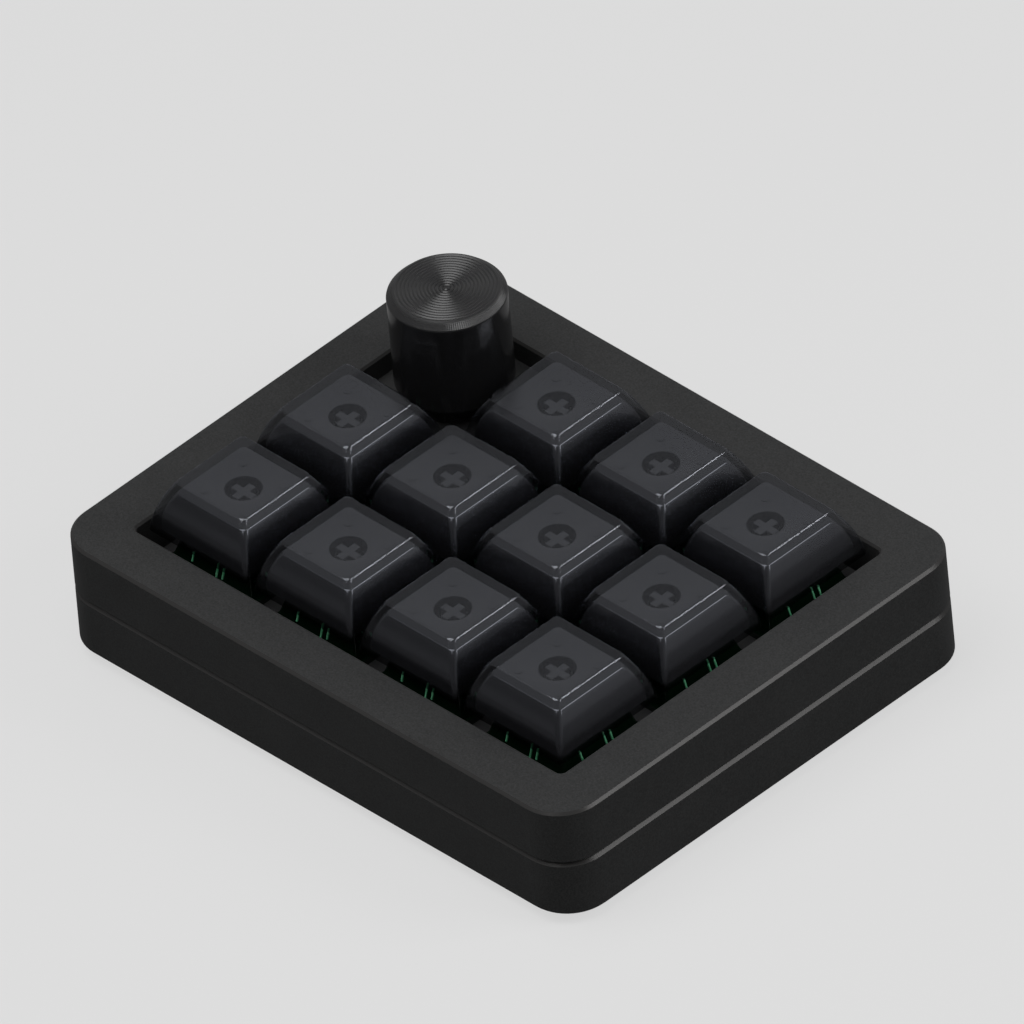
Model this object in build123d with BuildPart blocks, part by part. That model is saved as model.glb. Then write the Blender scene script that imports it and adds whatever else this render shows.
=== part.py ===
from build123d import *
import os

# Key grid: full-travel keys at the standard spacing, with a knob in the back left cell.
key_pitch = 19.05
key_columns = 4
key_rows = 3
key_travel = 4.0

# Case: two milled halves that meet at a grooved seam.
case_border = 8.45
lower_case_height = 8.45
upper_case_height = 8.45
case_corner_radius = 6.3
case_edge_chamfer = 0.36
seam_chamfer = 0.43
case_wall = 3.2
case_floor = 1.8
corner_block = 8.8
window_margin = 0.8
window_corner_radius = 0.8
window_edge_chamfer = 0.3

# Stack inside the case, from the floor up.
under_board_room = 2.3
board_thickness = 1.6
board_to_plate = 5.0
plate_thickness = 1.5
board_clearance = 0.5
plate_clearance = 0.25

# Screws that close the case from below, one in each corner.
case_screw_diameter = 3.0
case_screw_length = 10.0
case_screw_head_diameter = 5.5
case_screw_head_height = 3.0
case_screw_inset = 5.4
case_screw_recess = 0.3
hex_key_width = 2.5
hex_key_depth = 1.5
screw_hole_clearance = 0.2
thread_clearance = 0.05
screw_tip_room = 0.5

# Screws that hang the plate under the upper case.
plate_screw_diameter = 2.0
plate_screw_length = 5.0
plate_screw_head_diameter = 3.8
plate_screw_head_height = 1.3
plate_screw_inset = 2.2

# Feet: rubber discs seated in shallow recesses.
foot_diameter = 9.5
foot_proud = 1.5
foot_recess = 0.6
foot_clearance = 0.1
foot_inset_x = 17.0
foot_inset_y = 8.5

# Socket for the lead, sunk half into the back edge of the board.
port_width = 8.94
port_height = 3.26
port_depth = 6.5
port_inset = 0.8
port_shell = 0.3
port_mouth_depth = 5.0
port_tongue_width = 6.69
port_tongue_height = 0.7
port_tongue_length = 4.4
port_clearance = 0.15

# Key switch: a base clipped into the plate, a cover, a slider with a cross on top, and a spring.
switch_cutout = 14.0
switch_cutout_clearance = 0.05
switch_flange = 15.6
switch_flange_height = 1.0
switch_corner_radius = 0.6
switch_well = 11.4
switch_base_floor = 1.2
switch_post_diameter = 4.0
switch_post_length = 3.3
switch_post_clearance = 0.1
cover_height = 5.6
cover_bottom_size = 14.6
cover_top_size = 10.8
cover_wall = 1.2
slider_width = 7.0
slider_depth = 5.4
slider_clearance = 0.2
slider_shoulder = 0.2
slider_rest_gap = 0.1
slider_floor_gap = 0.2
slider_sink = 0.4
cross_length = 4.0
cross_arm = 1.2
cross_height = 4.0
spring_outer_diameter = 4.4
spring_wire = 0.4
spring_pocket_depth = 3.2
spring_clearance = 0.25

# Terminals of each switch, and the plug-in socket that takes them under the board.
terminal_diameter = 1.2
terminal_tip = 1.4
terminal_board_clearance = 0.3
terminal_socket_clearance = 0.05
terminal_near = (-3.81, 2.54)
terminal_far = (2.54, 5.08)
socket_thickness = 1.8
socket_near_size = (4.4, 4.0)
socket_far_size = (8.4, 3.6)
socket_near_shift = -0.6
socket_far_shift = -1.9

# Small parts under the board.
diode_length = 2.7
diode_width = 1.6
diode_height = 1.1
diode_place = (0, -6.2)
chip_size = 7.0
chip_height = 0.9
chip_row_shift = 3.5

# Keycaps: hollow, with sides that lean in and bulge, and a shallow dish on top.
cap_gap = 0.85
cap_height = 7.55
cap_top_size = 12.4
cap_bulge = 0.5
cap_corner_radius = 1.2
cap_wall = 1.05
cap_roof = 1.8
cap_cavity_radius = 0.5
cap_skirt_overlap = 0.55
cap_dish_depth = 0.3
cap_dish_margin = 0.4
cap_rim_fillet = 0.25
cap_boss_diameter = 5.0
cap_boss_recess = 0.3
cap_cross_clearance = 0.05
cap_socket_headroom = 1.1

# Rotary encoder, clamped under a shelf in the window's back left corner.
encoder_width = 12.5
encoder_depth = 13.2
encoder_height = 6.5
encoder_lid = 1.6
encoder_side_room = 0.75
encoder_end_room = 0.4
bushing_diameter = 7.0
bushing_length = 5.0
bushing_clearance = 0.1
shelf_thickness = 1.45
shelf_gap = 0.3
shelf_root = 1.0
rotor_diameter = 9.6
rotor_thickness = 2.2
rotor_gap = 0.2
rotor_side_gap = 0.4
shaft_diameter = 6.0
shaft_flat = 1.5
shaft_fit = 0.05
shaft_foot_diameter = 3.0
shaft_foot_flat = 0.5
shaft_foot_reach = 0.3
knob_travel = 0.5
washer_diameter = 11.0
washer_thickness = 0.5
nut_width = 10.0
nut_thickness = 2.0

# Knob: turned from bar, with fine rings on its top.
knob_diameter = 15.8
knob_height = 14.7
knob_gap = 3.5
knob_chamfer = 0.85
knob_roof = 4.5
knob_recess_depth = 2.0
knob_recess_clearance = 0.4
knob_ring_pitch = 0.5
knob_ring_width = 0.44
knob_ring_depth = 0.11
knob_rim = 0.35
set_screw_diameter = 3.0
set_screw_length = 5.0
set_screw_height = 4.2
set_screw_key_width = 1.5
set_screw_key_depth = 1.5

# Places worked out from the sizes above.
case_width = key_columns * key_pitch + 2 * case_border
case_depth = key_rows * key_pitch + 2 * case_border
window_width = key_columns * key_pitch + 2 * window_margin
window_depth = key_rows * key_pitch + 2 * window_margin
cavity_width = case_width - 2 * case_wall
cavity_depth = case_depth - 2 * case_wall
corner_notch = corner_block - case_wall

case_bottom_z = foot_proud
floor_z = case_bottom_z + case_floor
seam_z = case_bottom_z + lower_case_height
case_top_z = seam_z + upper_case_height
board_bottom_z = floor_z + under_board_room
board_top_z = board_bottom_z + board_thickness
plate_top_z = board_top_z + board_to_plate
plate_bottom_z = plate_top_z - plate_thickness
flange_top_z = plate_top_z + switch_flange_height
cover_top_z = flange_top_z + cover_height
well_floor_z = board_top_z + switch_base_floor
slider_bottom_z = well_floor_z + key_travel + slider_floor_gap
slider_top_z = cover_top_z - slider_sink
cross_top_z = slider_top_z + cross_height
cap_bottom_z = cover_top_z - cap_skirt_overlap
cap_top_z = cap_bottom_z + cap_height
cap_base_size = key_pitch - cap_gap
cavity_top_z = cap_top_z - cap_roof
ceiling_share = (cap_height - cap_roof) / cap_height
ceiling_bulge = 4 * cap_bulge * ceiling_share * (1 - ceiling_share)
wall_size_at_ceiling = cap_base_size - (cap_base_size - cap_top_size) * ceiling_share + 2 * ceiling_bulge
boss_bottom_z = cap_bottom_z + cap_boss_recess
cover_slot_width = slider_width + 2 * slider_clearance
cover_slot_depth = max(slider_depth, cap_boss_diameter) + 2 * slider_clearance
shelf_bottom_z = board_top_z + encoder_height
shelf_top_z = shelf_bottom_z + shelf_thickness
encoder_lid_z = shelf_bottom_z - encoder_lid
bushing_top_z = shelf_bottom_z + bushing_length
rotor_top_z = encoder_lid_z - rotor_gap
rotor_bottom_z = rotor_top_z - rotor_thickness
shaft_bottom_z = rotor_top_z + knob_travel + rotor_gap
shaft_foot_z = rotor_bottom_z - shaft_foot_reach
washer_top_z = shelf_top_z + washer_thickness
knob_bottom_z = shelf_top_z + knob_gap
knob_top_z = knob_bottom_z + knob_height
knob_bore_top_z = knob_top_z - knob_roof
set_screw_z = knob_bottom_z + set_screw_height
port_z = board_bottom_z + board_thickness / 2
port_mouth_y = case_depth / 2 - port_inset

knob_x = -(key_columns - 1) / 2 * key_pitch
knob_y = (key_rows - 1) / 2 * key_pitch
cell_centres = [
    (knob_x + column * key_pitch, knob_y - row * key_pitch)
    for row in range(key_rows)
    for column in range(key_columns)
]
knob_centre = cell_centres[0]
key_centres = cell_centres[1:]

case_screw_spacing_x = case_width - 2 * case_screw_inset
case_screw_spacing_y = case_depth - 2 * case_screw_inset
case_screw_seat_z = case_bottom_z + case_screw_recess + case_screw_head_height
plate_screw_side_x = window_width / 2 + plate_screw_inset
plate_screw_side_y = window_depth / 2 + plate_screw_inset
plate_screw_places = [(-plate_screw_side_x, 0), (plate_screw_side_x, 0)] + [
    (x, y) for x in (-key_pitch, key_pitch) for y in (-plate_screw_side_y, plate_screw_side_y)
]
foot_spacing_x = case_width - 2 * foot_inset_x
foot_spacing_y = case_depth - 2 * foot_inset_y


def notched_rectangle(width, depth):
    """Draws a rectangle that leaves the case's four corner blocks free."""
    Rectangle(width, depth)
    with GridLocations(width - corner_notch, depth - corner_notch, 2, 2):
        Rectangle(corner_notch, corner_notch, mode=Mode.SUBTRACT)


def bulged_block(bottom_size, top_size, bottom_z, top_z, corner_radius):
    """Makes a square block whose four sides lean in and bulge, with rounded corners."""
    with BuildPart() as block:
        for plane, mode in ((Plane.XZ, Mode.ADD), (Plane.YZ, Mode.INTERSECT)):
            with BuildSketch(plane):
                with BuildLine():
                    right_foot = (bottom_size / 2, bottom_z)
                    right_rim = (top_size / 2, top_z)
                    left_rim = (-top_size / 2, top_z)
                    left_foot = (-bottom_size / 2, bottom_z)
                    Line(left_foot, right_foot)
                    SagittaArc(right_foot, right_rim, -cap_bulge)
                    Line(right_rim, left_rim)
                    SagittaArc(left_rim, left_foot, -cap_bulge)
                make_face()
            extrude(amount=bottom_size, both=True, mode=mode)
        height = top_z - bottom_z
        fillet(
            block.edges().filter_by(lambda edge: edge.bounding_box().size.Z > height / 2),
            corner_radius,
        )
    return block.part


# Lower case: a tray with solid corner blocks for the screws.
with BuildPart() as lower_case:
    with BuildSketch(Plane.XY.offset(case_bottom_z)):
        RectangleRounded(case_width, case_depth, case_corner_radius)
    extrude(amount=lower_case_height)
    chamfer(lower_case.edges().group_by(Axis.Z)[0], case_edge_chamfer)
    chamfer(lower_case.edges().group_by(Axis.Z)[-1], seam_chamfer)
    with BuildSketch(Plane.XY.offset(floor_z)):
        notched_rectangle(cavity_width, cavity_depth)
    extrude(amount=seam_z - floor_z, mode=Mode.SUBTRACT)
    with BuildSketch(Plane.XY.offset(case_bottom_z)):
        with GridLocations(case_screw_spacing_x, case_screw_spacing_y, 2, 2):
            Circle(case_screw_diameter / 2 + screw_hole_clearance)
    extrude(amount=lower_case_height, mode=Mode.SUBTRACT)
    with BuildSketch(Plane.XY.offset(case_bottom_z)):
        with GridLocations(case_screw_spacing_x, case_screw_spacing_y, 2, 2):
            Circle(case_screw_head_diameter / 2 + screw_hole_clearance)
    extrude(amount=case_screw_seat_z - case_bottom_z, mode=Mode.SUBTRACT)
    with BuildSketch(Plane.XY.offset(case_bottom_z)):
        with GridLocations(foot_spacing_x, foot_spacing_y, 2, 2):
            Circle(foot_diameter / 2 + foot_clearance)
    extrude(amount=foot_recess, mode=Mode.SUBTRACT)
    with BuildSketch(Plane.XZ.offset(-case_depth / 2)):
        with Locations((0, port_z)):
            SlotOverall(port_width + 2 * port_clearance, port_height + 2 * port_clearance)
    extrude(amount=case_wall, mode=Mode.SUBTRACT)

# Upper case: a thick frame round the window, with a pocket below it for the plate
# and a shelf across the knob's cell.
with BuildPart() as upper_case:
    with BuildSketch(Plane.XY.offset(seam_z)):
        RectangleRounded(case_width, case_depth, case_corner_radius)
    extrude(amount=upper_case_height)
    chamfer(upper_case.edges().group_by(Axis.Z)[-1], case_edge_chamfer)
    chamfer(upper_case.edges().group_by(Axis.Z)[0], seam_chamfer)
    with BuildSketch(Plane.XY.offset(seam_z)):
        notched_rectangle(cavity_width, cavity_depth)
    extrude(amount=plate_top_z - seam_z, mode=Mode.SUBTRACT)
    with BuildSketch(Plane.XY.offset(plate_top_z)):
        RectangleRounded(window_width, window_depth, window_corner_radius)
    extrude(amount=case_top_z - plate_top_z, mode=Mode.SUBTRACT)
    window_rim = upper_case.faces().sort_by(Axis.Z)[-1].inner_wires()[0].edges()
    chamfer(window_rim, window_edge_chamfer)
    with BuildSketch(Plane.XY.offset(shelf_bottom_z)):
        shelf_corner_x = knob_x + key_pitch / 2 - shelf_gap
        shelf_corner_y = knob_y - key_pitch / 2 + shelf_gap
        with Locations((shelf_corner_x, shelf_corner_y)):
            Rectangle(
                window_width / 2 + shelf_corner_x + shelf_root,
                window_depth / 2 - shelf_corner_y + shelf_root,
                align=(Align.MAX, Align.MIN),
            )
    extrude(amount=shelf_thickness)
    with BuildSketch(Plane.XY.offset(shelf_bottom_z)):
        with Locations(knob_centre):
            Circle(bushing_diameter / 2 + bushing_clearance)
    extrude(amount=shelf_thickness, mode=Mode.SUBTRACT)
    with BuildSketch(Plane.XY.offset(seam_z)):
        with GridLocations(case_screw_spacing_x, case_screw_spacing_y, 2, 2):
            Circle(case_screw_diameter / 2 + thread_clearance)
    extrude(amount=case_screw_seat_z + case_screw_length + screw_tip_room - seam_z, mode=Mode.SUBTRACT)
    with BuildSketch(Plane.XY.offset(plate_top_z)):
        with Locations(*plate_screw_places):
            Circle(plate_screw_diameter / 2 + thread_clearance)
    extrude(amount=plate_screw_length - plate_thickness + screw_tip_room, mode=Mode.SUBTRACT)

# Plate: a sheet with a square cut-out for each switch and one for the encoder.
with BuildPart() as switch_plate:
    with BuildSketch(Plane.XY.offset(plate_bottom_z)):
        notched_rectangle(cavity_width - 2 * plate_clearance, cavity_depth - 2 * plate_clearance)
        with Locations(*key_centres):
            Rectangle(switch_cutout, switch_cutout, mode=Mode.SUBTRACT)
        with Locations(knob_centre):
            Rectangle(
                encoder_width + 2 * encoder_side_room,
                encoder_depth + 2 * encoder_end_room,
                mode=Mode.SUBTRACT,
            )
        with Locations(*plate_screw_places):
            Circle(plate_screw_diameter / 2 + screw_hole_clearance, mode=Mode.SUBTRACT)
    extrude(amount=plate_thickness)

# Board: hangs from the switches, with holes for their posts and terminals and a notch for the port.
terminal_places = [
    (x + offset_x, y + offset_y)
    for x, y in key_centres
    for offset_x, offset_y in (terminal_near, terminal_far)
]
with BuildPart() as circuit_board:
    with BuildSketch(Plane.XY.offset(board_bottom_z)):
        notched_rectangle(cavity_width - 2 * board_clearance, cavity_depth - 2 * board_clearance)
        with Locations(*key_centres):
            Circle(switch_post_diameter / 2 + switch_post_clearance, mode=Mode.SUBTRACT)
        with Locations(*terminal_places):
            Circle(terminal_diameter / 2 + terminal_board_clearance, mode=Mode.SUBTRACT)
        with Locations((0, port_mouth_y - port_depth - port_clearance)):
            Rectangle(
                port_width + 2 * port_clearance,
                case_depth / 2,
                align=(Align.CENTER, Align.MIN),
                mode=Mode.SUBTRACT,
            )
    extrude(amount=board_thickness)

# Port: a drawn metal shell with a contact tongue inside.
with BuildPart() as usb_socket:
    with BuildSketch(Plane.XZ.offset(-port_mouth_y)):
        with Locations((0, port_z)):
            SlotOverall(port_width, port_height)
    extrude(amount=port_depth)
    with BuildSketch(Plane.XZ.offset(-port_mouth_y)):
        with Locations((0, port_z)):
            SlotOverall(port_width - 2 * port_shell, port_height - 2 * port_shell)
    extrude(amount=port_mouth_depth, mode=Mode.SUBTRACT)
    with BuildSketch(Plane.XZ.offset(port_mouth_depth - port_mouth_y)):
        with Locations((0, port_z)):
            Rectangle(port_tongue_width, port_tongue_height)
    extrude(amount=-port_tongue_length)

# Controller, diodes and switch sockets, all soldered under the board.
with BuildPart() as controller_chip:
    with BuildSketch(Plane.XY.offset(board_bottom_z)):
        with Locations((0, chip_row_shift - key_pitch / 2)):
            Rectangle(chip_size, chip_size)
    extrude(amount=-chip_height)

with BuildPart() as key_diodes:
    with BuildSketch(Plane.XY.offset(board_bottom_z)):
        with Locations(*[(x + diode_place[0], y + diode_place[1]) for x, y in key_centres]):
            Rectangle(diode_length, diode_width)
    extrude(amount=-diode_height)

near_block_places = [(x + terminal_near[0] + socket_near_shift, y + terminal_near[1]) for x, y in key_centres]
far_block_places = [(x + terminal_far[0] + socket_far_shift, y + terminal_far[1]) for x, y in key_centres]
with BuildPart() as switch_sockets:
    with BuildSketch(Plane.XY.offset(board_bottom_z)):
        with Locations(*near_block_places):
            Rectangle(*socket_near_size)
        with Locations(*far_block_places):
            Rectangle(*socket_far_size)
        with Locations(*terminal_places):
            Circle(terminal_diameter / 2 + terminal_socket_clearance, mode=Mode.SUBTRACT)
    extrude(amount=-socket_thickness)

# Switch bases: clipped into the plate by their flanges, with a post through the board.
switch_base_size = switch_cutout - 2 * switch_cutout_clearance
with BuildPart() as switch_base_form:
    with BuildSketch(Plane.XY.offset(board_top_z)):
        RectangleRounded(switch_base_size, switch_base_size, switch_corner_radius)
    extrude(amount=board_to_plate)
    with BuildSketch(Plane.XY.offset(plate_top_z)):
        RectangleRounded(switch_flange, switch_flange, switch_corner_radius)
    extrude(amount=switch_flange_height)
    with BuildSketch(Plane.XY.offset(well_floor_z)):
        Rectangle(switch_well, switch_well)
    extrude(amount=flange_top_z - well_floor_z, mode=Mode.SUBTRACT)
    with BuildSketch(Plane.XY.offset(board_top_z)):
        Circle(switch_post_diameter / 2)
    extrude(amount=-switch_post_length)
    with BuildSketch(Plane.XY.offset(board_top_z)):
        with Locations(terminal_near, terminal_far):
            Circle(terminal_diameter / 2)
    extrude(amount=switch_base_floor, mode=Mode.SUBTRACT)

with BuildPart() as switch_bases:
    with Locations(*key_centres):
        add(switch_base_form.part)

with BuildPart() as switch_terminals:
    with BuildSketch(Plane.XY.offset(board_bottom_z - terminal_tip)):
        with Locations(*terminal_places):
            Circle(terminal_diameter / 2)
    extrude(amount=well_floor_z - board_bottom_z + terminal_tip)

# Switch covers: tapered lids with a slot that the slider rises through.
with BuildPart() as switch_cover_form:
    with BuildSketch(Plane.XY.offset(flange_top_z)):
        RectangleRounded(cover_bottom_size, cover_bottom_size, switch_corner_radius)
    with BuildSketch(Plane.XY.offset(cover_top_z)):
        RectangleRounded(cover_top_size, cover_top_size, switch_corner_radius)
    loft()
    with BuildSketch(Plane.XY.offset(flange_top_z)):
        Rectangle(cover_bottom_size - 2 * cover_wall, cover_bottom_size - 2 * cover_wall)
    with BuildSketch(Plane.XY.offset(cover_top_z - cover_wall)):
        Rectangle(cover_top_size - 2 * cover_wall, cover_top_size - 2 * cover_wall)
    loft(mode=Mode.SUBTRACT)
    with BuildSketch(Plane.XY.offset(cover_top_z)):
        Rectangle(cover_slot_width, cover_slot_depth)
    extrude(amount=-cover_wall, mode=Mode.SUBTRACT)

with BuildPart() as switch_covers:
    with Locations(*key_centres):
        add(switch_cover_form.part)

# Slider: shoulders that stop under the cover, a pocket for the spring and a cross that takes the cap.
with BuildPart() as slider_form:
    with BuildSketch(Plane.XY.offset(slider_bottom_z)):
        Rectangle(slider_width, slider_depth)
    extrude(amount=slider_top_z - slider_bottom_z)
    with BuildSketch(Plane.XY.offset(slider_bottom_z)):
        Rectangle(cover_slot_width + 2 * slider_shoulder, cover_slot_depth + 2 * slider_shoulder)
    extrude(amount=cover_top_z - cover_wall - slider_rest_gap - slider_bottom_z)
    with BuildSketch(Plane.XY.offset(slider_bottom_z)):
        Circle(spring_outer_diameter / 2 + spring_clearance)
    extrude(amount=spring_pocket_depth, mode=Mode.SUBTRACT)
    with BuildSketch(Plane.XY.offset(slider_top_z)):
        Rectangle(cross_length, cross_arm)
        Rectangle(cross_arm, cross_length)
    extrude(amount=cross_height)

# Spring: stands on the base's floor inside the slider's pocket.
with BuildPart() as spring_form:
    with BuildSketch(Plane.XY.offset(well_floor_z)):
        Circle(spring_outer_diameter / 2)
        Circle(spring_outer_diameter / 2 - spring_wire, mode=Mode.SUBTRACT)
    extrude(amount=slider_bottom_z + spring_pocket_depth - well_floor_z)

# Keycap: a hollow cap with a shallow round dish and a boss that grips the slider's cross.
cap_outside = bulged_block(cap_base_size, cap_top_size, cap_bottom_z, cap_top_z, cap_corner_radius)
cap_inside = bulged_block(
    cap_base_size - 2 * cap_wall,
    wall_size_at_ceiling - 2 * cap_wall,
    cap_bottom_z,
    cavity_top_z,
    cap_cavity_radius,
)
dish_rim_radius = cap_top_size / 2 - cap_dish_margin
dish_radius = (dish_rim_radius**2 + cap_dish_depth**2) / (2 * cap_dish_depth)
with BuildPart() as keycap_form:
    add(cap_outside)
    fillet(keycap_form.edges().group_by(Axis.Z)[-1], cap_rim_fillet)
    add(cap_inside, mode=Mode.SUBTRACT)
    with Locations((0, 0, cap_top_z - cap_dish_depth + dish_radius)):
        Sphere(dish_radius, mode=Mode.SUBTRACT)
    with BuildSketch(Plane.XY.offset(boss_bottom_z)):
        Circle(cap_boss_diameter / 2)
    extrude(amount=cavity_top_z - boss_bottom_z)
    with BuildSketch(Plane.XY.offset(boss_bottom_z)):
        Rectangle(cross_length + 2 * cap_cross_clearance, cross_arm + 2 * cap_cross_clearance)
        Rectangle(cross_arm + 2 * cap_cross_clearance, cross_length + 2 * cap_cross_clearance)
    extrude(amount=cross_top_z + cap_socket_headroom - boss_bottom_z, mode=Mode.SUBTRACT)

# Encoder: a moulded body with a metal lid whose threaded bushing comes up through the shelf.
with BuildPart() as encoder_body:
    with BuildSketch(Plane.XY.offset(board_top_z)):
        with Locations(knob_centre):
            Rectangle(encoder_width, encoder_depth)
    extrude(amount=encoder_height - encoder_lid)
    with BuildSketch(Plane.XY.offset(encoder_lid_z)):
        with Locations(knob_centre):
            Circle(rotor_diameter / 2 + rotor_side_gap)
    extrude(amount=rotor_bottom_z - rotor_gap - encoder_lid_z, mode=Mode.SUBTRACT)
    with BuildSketch(Plane.XY.offset(rotor_bottom_z)):
        with Locations(knob_centre):
            Circle(shaft_foot_diameter / 2 + rotor_side_gap)
    extrude(amount=-shaft_foot_reach - knob_travel - rotor_gap, mode=Mode.SUBTRACT)

with BuildPart() as encoder_bushing:
    with BuildSketch(Plane.XY.offset(encoder_lid_z)):
        with Locations(knob_centre):
            Rectangle(encoder_width, encoder_depth)
    extrude(amount=encoder_lid)
    with BuildSketch(Plane.XY.offset(shelf_bottom_z)):
        with Locations(knob_centre):
            Circle(bushing_diameter / 2)
    extrude(amount=bushing_length)
    with BuildSketch(Plane.XY.offset(encoder_lid_z)):
        with Locations(knob_centre):
            Circle(shaft_diameter / 2 + shaft_fit)
    extrude(amount=bushing_top_z - encoder_lid_z, mode=Mode.SUBTRACT)

with BuildPart() as encoder_washer:
    with BuildSketch(Plane.XY.offset(shelf_top_z)):
        with Locations(knob_centre):
            Circle(washer_diameter / 2)
            Circle(bushing_diameter / 2 + bushing_clearance, mode=Mode.SUBTRACT)
    extrude(amount=washer_thickness)

with BuildPart() as encoder_nut:
    with BuildSketch(Plane.XY.offset(washer_top_z)):
        with Locations(knob_centre):
            RegularPolygon(nut_width / 2, 6, major_radius=False)
            Circle(bushing_diameter / 2 + thread_clearance, mode=Mode.SUBTRACT)
    extrude(amount=nut_thickness)


def flatted_round(radius, flat_distance):
    """Draws a disc at the knob's axis with one flat on its back side."""
    with Locations(knob_centre):
        Circle(radius)
    with Locations((knob_x, knob_y + flat_distance)):
        Rectangle(2 * radius, radius, align=(Align.CENTER, Align.MIN), mode=Mode.SUBTRACT)


foot_flat_distance = shaft_foot_diameter / 2 - shaft_foot_flat

# Rotor: turns with the shaft, which slides through it when the knob is pushed.
with BuildPart() as encoder_rotor:
    with BuildSketch(Plane.XY.offset(rotor_bottom_z)):
        with Locations(knob_centre):
            Circle(rotor_diameter / 2)
    extrude(amount=rotor_thickness)
    with BuildSketch(Plane.XY.offset(rotor_bottom_z)):
        flatted_round(shaft_foot_diameter / 2 + shaft_fit, foot_flat_distance + shaft_fit)
    extrude(amount=rotor_thickness, mode=Mode.SUBTRACT)

with BuildPart() as encoder_shaft:
    with BuildSketch(Plane.XY.offset(shaft_foot_z)):
        flatted_round(shaft_foot_diameter / 2, foot_flat_distance)
    extrude(amount=shaft_bottom_z - shaft_foot_z)
    with BuildSketch(Plane.XY.offset(shaft_bottom_z)):
        with Locations(knob_centre):
            Circle(shaft_diameter / 2)
    extrude(amount=knob_bottom_z + knob_recess_depth - shaft_bottom_z)
    with BuildSketch(Plane.XY.offset(knob_bottom_z + knob_recess_depth)):
        flatted_round(shaft_diameter / 2, shaft_flat)
    extrude(amount=knob_bore_top_z - knob_bottom_z - knob_recess_depth)

# Knob: bored for the shaft, hollowed below for the nut, with rings turned into its top.
knob_face_radius = knob_diameter / 2 - knob_chamfer
knob_ring_count = int((knob_face_radius - knob_rim) / knob_ring_pitch)
nut_corner_radius = nut_width / 3**0.5
with BuildPart() as knob:
    with BuildSketch(Plane.XY.offset(knob_bottom_z)):
        with Locations(knob_centre):
            Circle(knob_diameter / 2)
    extrude(amount=knob_height)
    chamfer(knob.edges().group_by(Axis.Z)[-1], knob_chamfer)
    with BuildSketch(Plane.XZ.offset(-knob_y)):
        for ring in range(1, knob_ring_count + 1):
            with Locations((knob_x + ring * knob_ring_pitch, knob_top_z)):
                Polygon(
                    (-knob_ring_width / 2, 0),
                    (0, -knob_ring_depth),
                    (knob_ring_width / 2, 0),
                    align=None,
                )
    revolve(axis=Axis((knob_x, knob_y, 0), (0, 0, 1)), mode=Mode.SUBTRACT)
    with BuildSketch(Plane.XY.offset(knob_bottom_z)):
        with Locations(knob_centre):
            Circle(nut_corner_radius + knob_recess_clearance)
    extrude(amount=knob_recess_depth, mode=Mode.SUBTRACT)
    with BuildSketch(Plane.XY.offset(knob_bottom_z)):
        with Locations(knob_centre):
            Circle(shaft_diameter / 2 + shaft_fit)
    extrude(amount=knob_bore_top_z - knob_bottom_z, mode=Mode.SUBTRACT)
    with BuildSketch(Plane.XZ.offset(-knob_y - knob_diameter / 2)):
        with Locations((knob_x, set_screw_z)):
            Circle(set_screw_diameter / 2 + thread_clearance)
    extrude(amount=knob_diameter / 2, mode=Mode.SUBTRACT)

set_screw_end_y = knob_y + shaft_flat + set_screw_length
with BuildPart() as knob_set_screw:
    with BuildSketch(Plane.XZ.offset(-set_screw_end_y)):
        with Locations((knob_x, set_screw_z)):
            Circle(set_screw_diameter / 2)
    extrude(amount=set_screw_length)
    with BuildSketch(Plane.XZ.offset(-set_screw_end_y)):
        with Locations((knob_x, set_screw_z)):
            RegularPolygon(set_screw_key_width / 2, 6, major_radius=False)
    extrude(amount=set_screw_key_depth, mode=Mode.SUBTRACT)

# Fasteners and feet.
with BuildPart() as case_screws:
    with BuildSketch(Plane.XY.offset(case_screw_seat_z)):
        with GridLocations(case_screw_spacing_x, case_screw_spacing_y, 2, 2):
            Circle(case_screw_head_diameter / 2)
    extrude(amount=-case_screw_head_height)
    with BuildSketch(Plane.XY.offset(case_screw_seat_z)):
        with GridLocations(case_screw_spacing_x, case_screw_spacing_y, 2, 2):
            Circle(case_screw_diameter / 2)
    extrude(amount=case_screw_length)
    with BuildSketch(Plane.XY.offset(case_screw_seat_z - case_screw_head_height)):
        with GridLocations(case_screw_spacing_x, case_screw_spacing_y, 2, 2):
            RegularPolygon(hex_key_width / 2, 6, major_radius=False)
    extrude(amount=hex_key_depth, mode=Mode.SUBTRACT)

with BuildPart() as plate_screws:
    with BuildSketch(Plane.XY.offset(plate_bottom_z)):
        with Locations(*plate_screw_places):
            Circle(plate_screw_head_diameter / 2)
    extrude(amount=-plate_screw_head_height)
    with BuildSketch(Plane.XY.offset(plate_bottom_z)):
        with Locations(*plate_screw_places):
            Circle(plate_screw_diameter / 2)
    extrude(amount=plate_screw_length)

with BuildPart() as rubber_feet:
    with BuildSketch(Plane.XY):
        with GridLocations(foot_spacing_x, foot_spacing_y, 2, 2):
            Circle(foot_diameter / 2)
    extrude(amount=foot_proud + foot_recess)

# One file for each piece.
os.makedirs("parts", exist_ok=True)

for number, centre in enumerate(key_centres, start=1):
    with BuildPart() as keycap:
        with Locations(centre):
            add(keycap_form.part)
    keycap.part.label = f"keycap_{number}"
    export_step(keycap.part, f"parts/keycap_{number}.step")
    with BuildPart() as switch_slider:
        with Locations(centre):
            add(slider_form.part)
    switch_slider.part.label = f"switch_slider_{number}"
    export_step(switch_slider.part, f"parts/switch_slider_{number}.step")
    with BuildPart() as switch_spring:
        with Locations(centre):
            add(spring_form.part)
    switch_spring.part.label = f"switch_spring_{number}"
    export_step(switch_spring.part, f"parts/switch_spring_{number}.step")

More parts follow.
